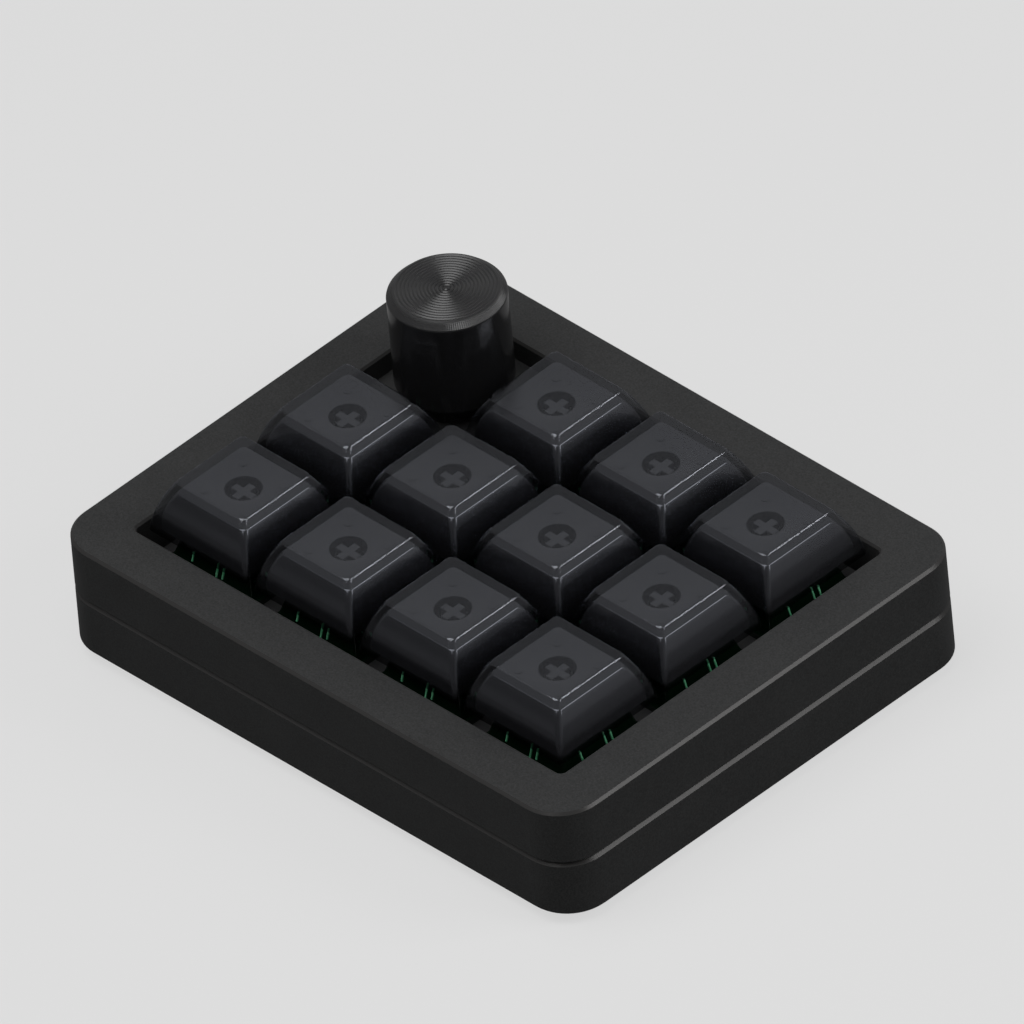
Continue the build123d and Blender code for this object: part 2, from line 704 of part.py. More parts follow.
pieces = {
    "lower_case": lower_case,
    "upper_case": upper_case,
    "switch_plate": switch_plate,
    "circuit_board": circuit_board,
    "usb_socket": usb_socket,
    "controller_chip": controller_chip,
    "key_diodes": key_diodes,
    "switch_sockets": switch_sockets,
    "switch_bases": switch_bases,
    "switch_terminals": switch_terminals,
    "switch_covers": switch_covers,
    "encoder_body": encoder_body,
    "encoder_bushing": encoder_bushing,
    "encoder_washer": encoder_washer,
    "encoder_nut": encoder_nut,
    "encoder_rotor": encoder_rotor,
    "encoder_shaft": encoder_shaft,
    "knob": knob,
    "knob_set_screw": knob_set_screw,
    "case_screws": case_screws,
    "plate_screws": plate_screws,
    "rubber_feet": rubber_feet,
}
for name, piece in pieces.items():
    piece.part.label = name
    export_step(piece.part, f"parts/{name}.step")
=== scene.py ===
import math

import bmesh
import bpy
from mathutils import Matrix, Vector


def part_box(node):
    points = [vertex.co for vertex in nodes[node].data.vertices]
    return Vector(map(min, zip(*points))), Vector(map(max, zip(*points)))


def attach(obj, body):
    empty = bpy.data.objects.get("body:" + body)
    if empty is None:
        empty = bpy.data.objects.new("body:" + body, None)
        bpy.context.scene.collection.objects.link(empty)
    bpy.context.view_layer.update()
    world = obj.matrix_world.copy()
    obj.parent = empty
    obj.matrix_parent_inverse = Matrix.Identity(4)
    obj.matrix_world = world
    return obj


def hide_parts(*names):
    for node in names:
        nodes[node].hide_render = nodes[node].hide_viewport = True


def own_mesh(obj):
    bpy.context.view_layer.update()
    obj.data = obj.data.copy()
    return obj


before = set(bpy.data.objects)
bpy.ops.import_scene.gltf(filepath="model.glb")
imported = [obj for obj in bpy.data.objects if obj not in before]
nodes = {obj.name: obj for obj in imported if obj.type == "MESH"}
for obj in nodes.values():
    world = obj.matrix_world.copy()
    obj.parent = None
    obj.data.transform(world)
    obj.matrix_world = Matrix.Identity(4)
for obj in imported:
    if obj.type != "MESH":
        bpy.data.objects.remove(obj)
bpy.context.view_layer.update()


# Lower case: the tray of the case, milled from aluminium, bead-blasted and anodised black.
# Its outer edges are cut bright after blasting, and four screws close it from below.
class Shade:
    """A shader value. Arithmetic on it adds Math nodes, and node() adds any other kind of node."""

    def __init__(self, tree, socket=None):
        self.tree = tree
        self.socket = socket

    def node(self, kind, settings=None, sockets=None, output=0):
        made = self.tree.nodes.new("ShaderNode" + kind)
        for name, value in (settings or {}).items():
            if name == "stops":
                for index, (position, level) in enumerate(value):
                    stops = made.color_ramp.elements
                    stop = stops[index] if index < 2 else stops.new(position)
                    stop.position = position
                    stop.color = (level, level, level, 1)
            else:
                setattr(made, name, value)
        for name, value in (sockets or {}).items():
            if isinstance(value, Shade):
                self.tree.links.new(value.socket, made.inputs[name])
            else:
                made.inputs[name].default_value = value
        return Shade(self.tree, made.outputs[output])

    def math(self, operation, first, second=0.0):
        return self.node("Math", {"operation": operation}, {0: first, 1: second})

    def __add__(self, other):
        return self.math("ADD", self, other)

    def __radd__(self, other):
        return self.math("ADD", other, self)

    def __sub__(self, other):
        return self.math("SUBTRACT", self, other)

    def __rsub__(self, other):
        return self.math("SUBTRACT", other, self)

    def __mul__(self, other):
        return self.math("MULTIPLY", self, other)

    def __rmul__(self, other):
        return self.math("MULTIPLY", other, self)

    def __gt__(self, other):
        return self.math("GREATER_THAN", self, other)

    def __lt__(self, other):
        return self.math("LESS_THAN", self, other)

    def __abs__(self):
        return self.math("ABSOLUTE", self)

    def place(self):
        return self.node("TexCoord", output="Object")

    def noise(self, size, detail=2.0, place=None):
        sockets = {"Vector": place or self.place(), "Scale": 1 / size, "Detail": detail}
        return self.node("TexNoise", None, sockets)

    def blend(self, factor, first, second):
        return self.node("Mix", {"data_type": "RGBA"}, {0: factor, 6: first, 7: second}, output=2)

    def bump(self, height, distance):
        return self.node("Bump", None, {"Height": height, "Distance": distance})


def new_finish(name):
    """Starts a material and hands back it and the Shade that its nodes grow from."""
    material = bpy.data.materials.new(name)
    material.use_nodes = True
    return material, Shade(material.node_tree)


def surface(material, sockets):
    """Sets the sockets of a material's Principled shader to values or to Shades."""
    shader = material.node_tree.nodes["Principled BSDF"]
    for name, value in sockets.items():
        if isinstance(value, Shade):
            material.node_tree.links.new(value.socket, shader.inputs[name])
        else:
            shader.inputs[name].default_value = value


def paint(piece, material):
    """Gives a piece one material in place of what it had."""
    piece.data.materials.clear()
    piece.data.materials.append(material)


grain_size, grain_contrast = 0.00022, 1.6
mottle_size, mottle_contrast = 0.009, 0.4
anodised_dark = (0.0142, 0.0144, 0.0145, 1)
anodised_light = (0.0313, 0.0317, 0.0319, 1)
cut_edge_colour = (0.033, 0.0323, 0.0320, 1)
wall_tilt, top_tilt = 0.3, 0.95
anodised, shade = new_finish("black_anodised")
grain = shade.noise(grain_size)
mottle = shade.noise(mottle_size, detail=4.0)
tone = grain * grain_contrast + mottle * mottle_contrast - (grain_contrast + mottle_contrast - 1) / 2
facing = shade.node("NewGeometry", output="Normal")
tilt = abs(shade.node("SeparateXYZ", None, {0: facing}, output="Z"))
cut_edge = (tilt > wall_tilt) * (tilt < top_tilt)
blasted = shade.blend(tone, anodised_dark, anodised_light)
surface(
    anodised,
    {
        "Base Color": shade.blend(cut_edge, blasted, cut_edge_colour),
        "Roughness": 0.46 + grain * 0.1 - cut_edge * 0.2,
        "Metallic": cut_edge * 0.4,
        "Specular IOR Level": 0.08,
    },
)
paint(nodes["lower_case"], anodised)

# Rubber feet: four moulded discs pressed into shallow recesses under the case.
# The rubber is matt and dark, with a fine moulded skin, a rounded edge and two grip rings below.
def choose(kind, test):
    """Selects only the vertices, edges or faces of the piece in edit mode that pass a test."""
    bpy.ops.mesh.select_mode(type=kind)
    bpy.ops.mesh.select_all(action="DESELECT")
    mesh = bmesh.from_edit_mesh(bpy.context.object.data)
    for element in {"VERT": mesh.verts, "EDGE": mesh.edges, "FACE": mesh.faces}[kind]:
        if test(element):
            element.select_set(True)
    mesh.select_flush_mode()
    bmesh.update_edit_mesh(bpy.context.object.data)


def copy_to(piece, name, place):
    """Copies a piece, with a mesh of its own moved to a place."""
    twin = piece.copy()
    twin.data = piece.data.copy()
    twin.name = twin.data.name = name
    twin.data.transform(Matrix.Translation((*place, 0)))
    bpy.context.scene.collection.objects.link(twin)
    return twin


def join_as(name, pieces):
    """Joins pieces into the first of them, and names it."""
    bpy.ops.object.select_all(action="DESELECT")
    for piece in pieces:
        piece.select_set(True)
    bpy.context.view_layer.objects.active = pieces[0]
    bpy.ops.object.join()
    pieces[0].name = name
    return pieces[0]


foot_radius, foot_height, foot_points = 0.00475, 0.0021, 72
foot_rounding = 0.0005
grip_rings = (0.0032, 0.0018)
grip_ring_width, grip_ring_depth = 0.0005, 0.0002
foot_across, foot_along = 0.02955, 0.028525
straight_down = -0.99
bpy.ops.mesh.primitive_cylinder_add(
    vertices=foot_points, radius=foot_radius, depth=foot_height, location=(0, 0, foot_height / 2)
)
bpy.ops.object.transform_apply(location=True)
foot = bpy.context.object
bpy.ops.object.mode_set(mode="EDIT")
choose("EDGE", lambda edge: all(vert.co.z < foot_rounding for vert in edge.verts))
bpy.ops.mesh.bevel(offset=foot_rounding, segments=5, affect="EDGES")
flat_radius = foot_radius - foot_rounding
for ring in grip_rings:
    choose("FACE", lambda face: face.normal.z < straight_down and len(face.verts) > 4)
    bpy.ops.mesh.inset(thickness=flat_radius - ring)
    bpy.ops.mesh.inset(thickness=grip_ring_width)
    flat_radius = ring - grip_ring_width
    choose(
        "FACE",
        lambda face: face.normal.z < straight_down
        and flat_radius < face.calc_center_median().xy.length < ring,
    )
    bpy.ops.mesh.extrude_region_move(TRANSFORM_OT_translate={"value": (0, 0, grip_ring_depth)})
bpy.ops.object.mode_set(mode="OBJECT")
bpy.ops.object.shade_smooth_by_angle(angle=math.radians(40))
feet = []
for across in (-foot_across, foot_across):
    for along in (-foot_along, foot_along):
        feet.append(copy_to(foot, f"moulded_foot_{len(feet) + 1}", (across, along)))
bpy.data.objects.remove(foot)
feet = join_as("moulded_feet", feet)
pore_size, pore_depth = 0.00025, 0.00002
rubber, shade = new_finish("foot_rubber")
pores = shade.noise(pore_size, detail=3.0)
surface(
    rubber,
    {
        "Base Color": shade.blend(pores, (0.012, 0.012, 0.013, 1), (0.024, 0.024, 0.025, 1)),
        "Roughness": 0.75 + pores * 0.15,
        "Normal": shade.bump(pores, pore_depth),
    },
)
paint(feet, rubber)
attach(feet, "case")
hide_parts("rubber_feet")

# Circuit board: fibreglass under a dark green solder mask, with copper tracks faintly raised below it.
# It hangs from the switches, and the port is sunk into its back edge.
track_pitch, track_height = 0.0016, 0.00002
mask_ripple = 0.003
mask_green = (0.008, 0.030, 0.014, 1)
track_green = (0.014, 0.055, 0.026, 1)
solder_mask, shade = new_finish("solder_mask")
tracks = shade.node(
    "TexBrick",
    {"offset": 0.5},
    {"Vector": shade.place(), "Scale": 1 / track_pitch, "Mortar Size": 0.06, "Mortar Smooth": 0.1},
    output="Fac",
)
surface(
    solder_mask,
    {
        "Base Color": shade.blend(tracks, mask_green, track_green),
        "Roughness": 0.32 + shade.noise(mask_ripple) * 0.12,
        "Normal": shade.bump(tracks, track_height),
    },
)
paint(nodes["circuit_board"], solder_mask)

# Controller chip, diodes and switch sockets: small black moulded parts soldered under the board.
# Their epoxy is matt, with a fine sandy surface from the mould.
sand_size, sand_depth = 0.00012, 0.00001
epoxy, shade = new_finish("black_epoxy")
sand = shade.noise(sand_size, detail=3.0)
surface(
    epoxy,
    {
        "Base Color": shade.blend(sand, (0.012, 0.012, 0.013, 1), (0.030, 0.030, 0.032, 1)),
        "Roughness": 0.5 + sand * 0.2,
        "Normal": shade.bump(sand, sand_depth),
    },
)
for name in ("controller_chip", "key_diodes", "switch_sockets"):
    paint(nodes[name], epoxy)

# Port: a shell drawn from thin stainless steel round a contact tongue, sunk into the back wall.
# The steel shows fine lines along the direction of drawing.
line_width, line_depth, line_stretch = 0.0001, 0.000004, 0.03
drawn_steel, shade = new_finish("drawn_steel")
along_y = shade.node("Mapping", None, {"Vector": shade.place(), "Scale": (1, line_stretch, 1)})
lines = shade.noise(line_width, detail=3.0, place=along_y)
surface(
    drawn_steel,
    {
        "Base Color": shade.blend(lines, (0.50, 0.50, 0.51, 1), (0.66, 0.66, 0.67, 1)),
        "Metallic": 1.0,
        "Roughness": 0.22 + lines * 0.16,
        "Normal": shade.bump(lines, line_depth),
    },
)
paint(nodes["usb_socket"], drawn_steel)

# Switch plate: a sheet of grey anodised aluminium with a square cut-out for each switch.
# It shows between the switches through the gaps round the caps.
brush_width, brush_depth, brush_stretch = 0.00015, 0.000005, 0.04
plate_metal, shade = new_finish("grey_plate")
along_x = shade.node("Mapping", None, {"Vector": shade.place(), "Scale": (brush_stretch, 1, 1)})
brushed = shade.noise(brush_width, detail=3.0, place=along_x)
surface(
    plate_metal,
    {
        "Base Color": shade.blend(brushed, (0.035, 0.035, 0.036, 1), (0.060, 0.060, 0.061, 1)),
        "Metallic": 0.6,
        "Roughness": 0.38 + brushed * 0.14,
        "Normal": shade.bump(brushed, brush_depth),
    },
)
paint(nodes["switch_plate"], plate_metal)

# Switch housings: bases clipped into the plate and tapered covers over them, moulded from clear plastic
# with a green tint. Thin ribs stand on the cover's sides; their pale green is painted glint for the light
# they catch in the gaps round the caps.
key_pitch = 0.01905
key_columns, key_rows = 4, 3
key_cells = [
    ((column - (key_columns - 1) / 2) * key_pitch, ((key_rows - 1) / 2 - row) * key_pitch)
    for row in range(key_rows)
    for column in range(key_columns)
]
key_places = key_cells[1:]
rib_half, rib_level = 0.0067, 0.0151
rib_width, rib_height, rib_rounding = 0.00026, 0.0003, 0.00005
rib_places_and_lengths = ((-0.0034, 0.0014), (0.0010, 0.0022), (0.0021, 0.0016))
cover_draw_in, cover_rise = 0.0019, 0.0056
cover_lean = math.atan(cover_draw_in / cover_rise)
ribs = []
for quarter in range(4):
    turn = quarter * math.pi / 2
    for along, length in rib_places_and_lengths:
        spot = Matrix.Rotation(turn, 3, "Z") @ Vector((rib_half, along, rib_level))
        bpy.ops.mesh.primitive_cube_add(size=1, location=spot, rotation=(0, -cover_lean, turn))
        bpy.context.object.scale = (rib_height, rib_width, length)
        ribs.append(bpy.context.object)
trim = join_as("housing_trim", ribs)
bpy.ops.object.transform_apply()
bpy.ops.object.mode_set(mode="EDIT")
choose("EDGE", lambda edge: True)
bpy.ops.mesh.bevel(offset=rib_rounding, segments=2, affect="EDGES")
bpy.ops.object.mode_set(mode="OBJECT")
bpy.ops.object.shade_smooth_by_angle(angle=math.radians(40))
trims = [copy_to(trim, f"housing_trim_{number}", place) for number, place in enumerate(key_places, 1)]
bpy.data.objects.remove(trim)
trims = join_as("housing_trims", trims)
flow_size, flow_depth, glint_patch_size = 0.002, 0.00002, 0.0012
housing_green, shade = new_finish("clear_green_plastic")
flow = shade.noise(flow_size, detail=3.0)
surface(
    housing_green,
    {
        "Base Color": shade.blend(flow, (0.0015, 0.011, 0.004, 1), (0.0028, 0.018, 0.0065, 1)),
        "Roughness": 0.06,
        "Transmission Weight": 0.5,
        "IOR": 1.55,
        "Normal": shade.bump(flow, flow_depth),
    },
)
for name in ("switch_bases", "switch_covers"):
    paint(nodes[name], housing_green)
# The ribs' bright, whitish green is painted glint standing in for the light they catch, and the noise
# spreads whiter painted highlight patches along them.
painted_glint_green, shade = new_finish("green_painted_glint")
glint_patches = shade.noise(glint_patch_size, detail=3.0)
surface(
    painted_glint_green,
    {
        "Base Color": shade.blend(glint_patches, (0.03, 0.34, 0.13, 1), (0.30, 0.80, 0.48, 1)),
        "Roughness": 0.10 + glint_patches * 0.08,
    },
)
paint(trims, painted_glint_green)
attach(trims, "case")

# Switch terminals: tinned brass pins from each switch down into its plug-in socket.
# The plating is bright, with soft tarnish patches.
tarnish_size = 0.0008
tinned_brass, shade = new_finish("tinned_brass")
tarnish = shade.noise(tarnish_size, detail=3.0)
surface(
    tinned_brass,
    {
        "Base Color": shade.blend(tarnish, (0.74, 0.62, 0.38, 1), (0.60, 0.47, 0.25, 1)),
        "Metallic": 1.0,
        "Roughness": 0.22 + tarnish * 0.2,
    },
)
paint(nodes["switch_terminals"], tinned_brass)

# Springs: steel wire wound into a coil under each slider.
# Each stands on its base's floor and rides with the case.
wire_radius, wire_points = 0.0002, 10
coil_radius = 0.0020
coil_turns, turn_steps = 9, 24
coil_floor, coil_top = (corner.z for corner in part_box("switch_spring_1"))
coil_rise = (coil_top - coil_floor - 2 * wire_radius) / coil_turns
bpy.ops.mesh.primitive_circle_add(
    vertices=wire_points,
    radius=wire_radius,
    location=(coil_radius, 0, coil_floor + wire_radius),
    rotation=(math.pi / 2, 0, 0),
)
bpy.ops.object.transform_apply(location=True, rotation=True)
coil = bpy.context.object
winding = coil.modifiers.new("winding", "SCREW")
winding.steps = winding.render_steps = turn_steps
winding.iterations = coil_turns
winding.screw_offset = coil_rise
bpy.ops.object.modifier_apply(modifier="winding")
bpy.ops.object.mode_set(mode="EDIT")
bpy.ops.mesh.select_all(action="SELECT")
bpy.ops.mesh.fill_holes(sides=wire_points)
bpy.ops.mesh.select_all(action="SELECT")
bpy.ops.mesh.normals_make_consistent(inside=False)
bpy.ops.object.mode_set(mode="OBJECT")
bpy.ops.object.shade_smooth_by_angle(angle=math.radians(50))
draw_mark_size = 0.0002
spring_wire, shade = new_finish("spring_wire")
draw_marks = shade.noise(draw_mark_size)
surface(
    spring_wire,
    {
        "Base Color": shade.blend(draw_marks, (0.52, 0.52, 0.53, 1), (0.68, 0.68, 0.69, 1)),
        "Metallic": 1.0,
        "Roughness": 0.2 + draw_marks * 0.15,
    },
)
paint(coil, spring_wire)
for number, place in enumerate(key_places, 1):
    spring = copy_to(coil, f"coil_spring_{number}", place)
    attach(spring, "case")
    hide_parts(f"switch_spring_{number}")
    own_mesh(spring)
bpy.data.objects.remove(coil)

# Sliders: the moulded stems that carry the caps on a cross.
# They are dark acetal with a waxy gloss.
wax_size, wax_depth = 0.0006, 0.00001
acetal, shade = new_finish("dark_acetal")
wax = shade.noise(wax_size, detail=3.0)
surface(
    acetal,
    {
        "Base Color": shade.blend(wax, (0.016, 0.017, 0.018, 1), (0.026, 0.027, 0.028, 1)),
        "Roughness": 0.34 + wax * 0.12,
        "Normal": shade.bump(wax, wax_depth),
    },
)
for number in range(1, len(key_places) + 1):
    paint(nodes[f"switch_slider_{number}"], acetal)

# Encoder: a moulded body and rotor with a plated threaded bushing, and a shaft that carries the knob.
# A black washer and nut clamp it to the shelf.
for name in ("encoder_body", "encoder_rotor"):
    paint(nodes[name], epoxy)
bloom_size, bloom_depth = 0.0012, 0.00001
plated_zinc, shade = new_finish("plated_zinc")
bloom = shade.noise(bloom_size, detail=4.0)
surface(
    plated_zinc,
    {
        "Base Color": shade.blend(bloom, (0.42, 0.42, 0.43, 1), (0.56, 0.56, 0.57, 1)),
        "Metallic": 1.0,
        "Roughness": 0.28 + bloom * 0.18,
        "Normal": shade.bump(bloom, bloom_depth),
    },
)
for name in ("encoder_bushing", "encoder_shaft"):
    paint(nodes[name], plated_zinc)
oxide_size, oxide_depth = 0.0005, 0.00001
black_oxide, shade = new_finish("black_oxide")
oxide = shade.noise(oxide_size, detail=4.0)
surface(
    black_oxide,
    {
        "Base Color": shade.blend(oxide, (0.020, 0.020, 0.022, 1), (0.045, 0.044, 0.044, 1)),
        "Metallic": 0.7,
        "Roughness": 0.38 + oxide * 0.2,
        "Normal": shade.bump(oxide, oxide_depth),
    },
)
for name in ("encoder_washer", "encoder_nut"):
    paint(nodes[name], black_oxide)

# Upper case: a thick milled frame round the window, with a shelf across the knob's cell.
# It has the lower half's finish, and the two meet at a grooved seam.
paint(nodes["upper_case"], anodised)

# Screws: socket heads that close the case from below, small ones that hang the plate,
# and the knob's set screw. All are steel with the black oxide finish of the encoder's nut.
for name in ("case_screws", "plate_screws", "knob_set_screw"):
    paint(nodes[name], black_oxide)

# Keycaps: hollow, slightly bulging caps of smoky plastic, with a clear skin outside and a smoked lining.
# A boss under the roof grips the slider's cross and shows through the top, and four small
# round marks in the ceiling are left by the pins that push the cap out of its mould.
cap_foot_half, cap_rim_half = 0.0091, 0.0062
cap_foot, cap_rim = 0.01825, 0.0258
cap_corner = 0.0008
cavity_foot_half, ceiling_half = 0.00805, 0.0062
ceiling = 0.0240
wall_bulge, wall_steps, wall_cuts = 0.0005, 8, 7
dish_radius, dish_depth, dish_steps = 0.0058, 0.0003, 7
boss_radius, boss_foot = 0.0025, 0.01855
socket_length, socket_arm = 0.0041, 0.0013
socket_top, socket_depth = 0.0235, 0.006
socket_draft = (0.9, 0.8, 1)
pin_radius, pin_place, pin_depth, pin_points = 0.0006, 0.0036, 0.00007, 32
rim_rounding, lip_rounding, ceiling_rounding = 0.00024, 0.00006, 0.00018
ring_points = 56
lift = 0.002
hair = 1e-6
sharp = 0.3


def raise_ring(inset, rise):
    """Extrudes the selected ring upwards and draws its four corners in, so that they keep their radius."""
    bpy.ops.mesh.extrude_region_move(TRANSFORM_OT_translate={"value": (0, 0, rise)})
    mesh = bmesh.from_edit_mesh(bpy.context.object.data)
    mesh.verts.index_update()
    ring = {vert.index for vert in mesh.verts if vert.select}
    for across in (-1, 1):
        for along in (-1, 1):
            choose(
                "VERT",
                lambda vert: vert.index in ring and vert.co.x * across > 0 and vert.co.y * along > 0,
            )
            bpy.ops.transform.translate(value=(-across * inset, -along * inset, 0))
    choose("VERT", lambda vert: vert.index in ring)


def at_level(edge, level):
    """True if an edge lies at a level."""
    return all(abs(vert.co.z - level) < hair for vert in edge.verts)


def raise_wall(foot_half, rim_half, foot, rim):
    """Raises four leaning, bulging walls from the selected ring, and divides their top edges."""
    lean, rise = rim_half - foot_half, rim - foot
    length = math.hypot(lean, rise)
    half, level = foot_half, foot
    for step in range(1, wall_steps + 1):
        share = step / wall_steps
        swell = 4 * wall_bulge * share * (1 - share) / length
        next_half = foot_half + lean * share + swell * rise
        next_level = foot + rise * share - swell * lean
        raise_ring(half - next_half, next_level - level)
        half, level = next_half, next_level
    choose("EDGE", lambda edge: edge.is_boundary and edge.calc_length() > rim_half and at_level(edge, rim))
    bpy.ops.mesh.subdivide(number_cuts=wall_cuts)


def round_edges(level, beyond, width, segments):
    """Rounds the sharp edges at a level that lie beyond a distance from the middle."""
    choose(
        "EDGE",
        lambda edge: at_level(edge, level)
        and edge.calc_face_angle(0) > sharp
        and all(vert.co.xy.length > beyond for vert in edge.verts),
    )
    bpy.ops.mesh.bevel(offset=width, segments=segments, affect="EDGES")


def cut(piece, cutter):
    """Takes a cutter's shape out of a piece."""
    hollow = piece.modifiers.new("hollow", "BOOLEAN")
    hollow.operation = "DIFFERENCE"
    hollow.object = cutter
    bpy.context.view_layer.objects.active = piece
    bpy.ops.object.modifier_apply(modifier="hollow")
    bpy.data.objects.remove(cutter)


bpy.ops.mesh.primitive_plane_add(size=2 * cap_foot_half, location=(0, 0, cap_foot))
bpy.ops.object.transform_apply(location=True)
cap = bpy.context.object
bpy.ops.object.mode_set(mode="EDIT")
bpy.ops.mesh.select_all(action="SELECT")
bpy.ops.mesh.bevel(offset=cap_corner, segments=6, affect="VERTICES")
bpy.ops.mesh.select_all(action="SELECT")
bpy.ops.mesh.delete(type="ONLY_FACE")
choose("VERT", lambda vert: True)
raise_wall(cap_foot_half, cap_rim_half, cap_foot, cap_rim)
choose("VERT", lambda vert: vert.co.z < cap_foot + hair)
raise_ring(cap_foot_half - cavity_foot_half, 0)
raise_wall(cavity_foot_half, ceiling_half, cap_foot, ceiling)
bpy.ops.mesh.primitive_circle_add(
    vertices=ring_points, radius=dish_radius, location=(0, 0, cap_rim + lift)
)
for step in range(1, dish_steps):
    share, last_share = 1 - step / dish_steps, 1 - (step - 1) / dish_steps
    fall = dish_depth * (share**2 - last_share**2)
    shrink = share / last_share
    bpy.ops.mesh.extrude_region_move(TRANSFORM_OT_translate={"value": (0, 0, fall)})
    bpy.ops.transform.resize(value=(shrink, shrink, 1), center_override=(0, 0, cap_rim))
bpy.ops.mesh.edge_face_add()
choose("EDGE", lambda edge: edge.is_boundary and all(vert.co.z > cap_rim - hair for vert in edge.verts))
bpy.ops.mesh.bridge_edge_loops()
choose("VERT", lambda vert: vert.co.z > cap_rim + lift / 2)
bpy.ops.transform.translate(value=(0, 0, -lift))
bpy.ops.mesh.primitive_circle_add(
    vertices=ring_points, radius=boss_radius, location=(0, 0, ceiling - lift)
)
bpy.ops.mesh.extrude_region_move(TRANSFORM_OT_translate={"value": (0, 0, boss_foot - ceiling)})
bpy.ops.mesh.edge_face_add()
choose("EDGE", lambda edge: edge.is_boundary)
bpy.ops.mesh.bridge_edge_loops()
choose("VERT", lambda vert: vert.co.z < ceiling - lift / 2 and vert.co.xy.length < boss_radius + hair)
bpy.ops.transform.translate(value=(0, 0, lift))
round_edges(cap_rim, (dish_radius + cap_rim_half) / 2, rim_rounding, 5)
round_edges(cap_foot, 0, lip_rounding, 2)
round_edges(ceiling, (boss_radius + ceiling_half) / 2, ceiling_rounding, 3)
bpy.ops.mesh.select_all(action="SELECT")
bpy.ops.mesh.normals_make_consistent(inside=False)
bpy.ops.object.mode_set(mode="OBJECT")
socket_middle = socket_top - socket_depth / 2
for turn in (0, math.pi / 2):
    bpy.ops.mesh.primitive_cube_add(size=1, location=(0, 0, socket_middle), rotation=(0, 0, turn))
    bpy.context.object.scale = (socket_length, socket_arm, socket_depth)
    bpy.ops.object.mode_set(mode="EDIT")
    choose("FACE", lambda face: face.normal.z > 0.9)
    bpy.ops.transform.resize(value=socket_draft)
    bpy.ops.object.mode_set(mode="OBJECT")
    cut(cap, bpy.context.object)
for across in (-pin_place, pin_place):
    for along in (-pin_place, pin_place):
        bpy.ops.mesh.primitive_cylinder_add(
            vertices=pin_points, radius=pin_radius, depth=2 * pin_depth, location=(across, along, ceiling)
        )
        cut(cap, bpy.context.object)
bpy.ops.object.select_all(action="DESELECT")
cap.select_set(True)
bpy.ops.object.shade_smooth_by_angle(angle=math.radians(35))
cap.modifiers.new("flat_faces", "WEIGHTED_NORMAL").keep_sharp = True
bpy.ops.object.modifier_apply(modifier="flat_faces")


def cover(material, shader):
    """Makes a shader the whole surface of a material, in place of its Principled shader."""
    output = material.node_tree.nodes["Material Output"]
    material.node_tree.links.new(shader.socket, output.inputs["Surface"])


gleam = (0.88, 0.91, 1.0, 1)
haze_size, smoke_size = 0.0016, 0.0022
skin_gloss, skin_edge_gloss = 0.045, 0.7
clear_skin, shade = new_finish("clear_plastic_skin")
haze = shade.noise(haze_size, detail=3.0)
glance = shade.math("POWER", shade.node("LayerWeight", None, {"Blend": 0.5}, output="Facing"), 5.0)
clear = shade.node("BsdfTransparent", None, {"Color": (0.97, 0.97, 0.97, 1)})
sheen = shade.node("BsdfGlossy", None, {"Color": gleam, "Roughness": 0.11 + haze * 0.05})
outside = shade.node("MixShader", None, {0: skin_gloss + glance * skin_edge_gloss, 1: clear, 2: sheen})
inside = shade.node("BsdfTransparent", None, {"Color": (0.33, 0.335, 0.345, 1)})
turned_away = shade.node("NewGeometry", output="Backfacing")
cover(clear_skin, shade.node("MixShader", None, {0: turned_away, 1: outside, 2: inside}))
paint(cap, clear_skin)
smoked_lining, shade = new_finish("smoked_plastic_lining")
smoke = shade.noise(smoke_size, detail=3.0)
surface(
    smoked_lining,
    {
        "Base Color": shade.blend(smoke, (0.0095, 0.0098, 0.0108, 1), (0.0145, 0.0149, 0.0164, 1)),
        "Roughness": 0.20,
        "IOR": 2.0,
        "Specular Tint": gleam,
    },
)
cap.data.materials.append(smoked_lining)
lining_margin, boss_margin = 0.0001, 0.0003


def lines_hollow(face):
    """True if a face looks into the cap's hollow, above its lip, or is the boss's."""
    middle = face.calc_center_median()
    in_hollow = cap_foot + lining_margin < middle.z < ceiling + lining_margin
    looks_in = face.normal.xy.dot(middle.xy) < -1e-7 or face.normal.z < -0.5
    return in_hollow and (looks_in or middle.xy.length < boss_radius + boss_margin)


bpy.ops.object.mode_set(mode="EDIT")
choose("FACE", lines_hollow)
cap.active_material_index = 1
bpy.ops.object.material_slot_assign()
bpy.ops.object.mode_set(mode="OBJECT")
for number, place in enumerate(key_places, 1):
    keycap = copy_to(cap, f"moulded_cap_{number}", place)
    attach(keycap, f"key_{number}")
    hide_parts(f"keycap_{number}")
bpy.data.objects.remove(cap)

# Knob: turned from aluminium bar and anodised glossy black, with sharp rings cut into its top
# and fine strokes across its chamfer. It is pushed on to the encoder's shaft and held by the set screw.
knob_place = key_cells[0]
knob_points = 192
bore_radius, bore_roof = 0.00305, 0.02885
nut_room_radius, nut_room_roof = 0.00617, 0.02065
knob_foot, knob_top = 0.01865, 0.03335
knob_radius, knob_chamfer = 0.0079, 0.00085
inner_bevel, foot_bevel = 0.0002, 0.0003
shoulder_fall, shoulder_step = 0.0002, 0.00006
ring_pitch, ring_depth, ring_count = 0.0005, 0.00012, 13
rim_drop = 0.00008
set_screw_radius, set_screw_level, set_screw_points = 0.00155, 0.02285, 48
set_screw_start = 0.001
face_radius = knob_radius - knob_chamfer
profile = [
    (bore_radius, nut_room_roof),
    (nut_room_radius, nut_room_roof),
    (nut_room_radius, knob_foot + inner_bevel),
    (nut_room_radius + inner_bevel, knob_foot),
    (knob_radius - foot_bevel, knob_foot),
    (knob_radius, knob_foot + foot_bevel),
    (knob_radius, knob_top - knob_chamfer - shoulder_fall),
    (knob_radius - shoulder_step, knob_top - knob_chamfer),
    (face_radius, knob_top - rim_drop),
]
for ring in range(ring_count, 0, -1):
    profile.append(((ring + 0.5) * ring_pitch, knob_top))
    profile.append((ring * ring_pitch, knob_top - ring_depth))
profile.append((0.5 * ring_pitch, knob_top))
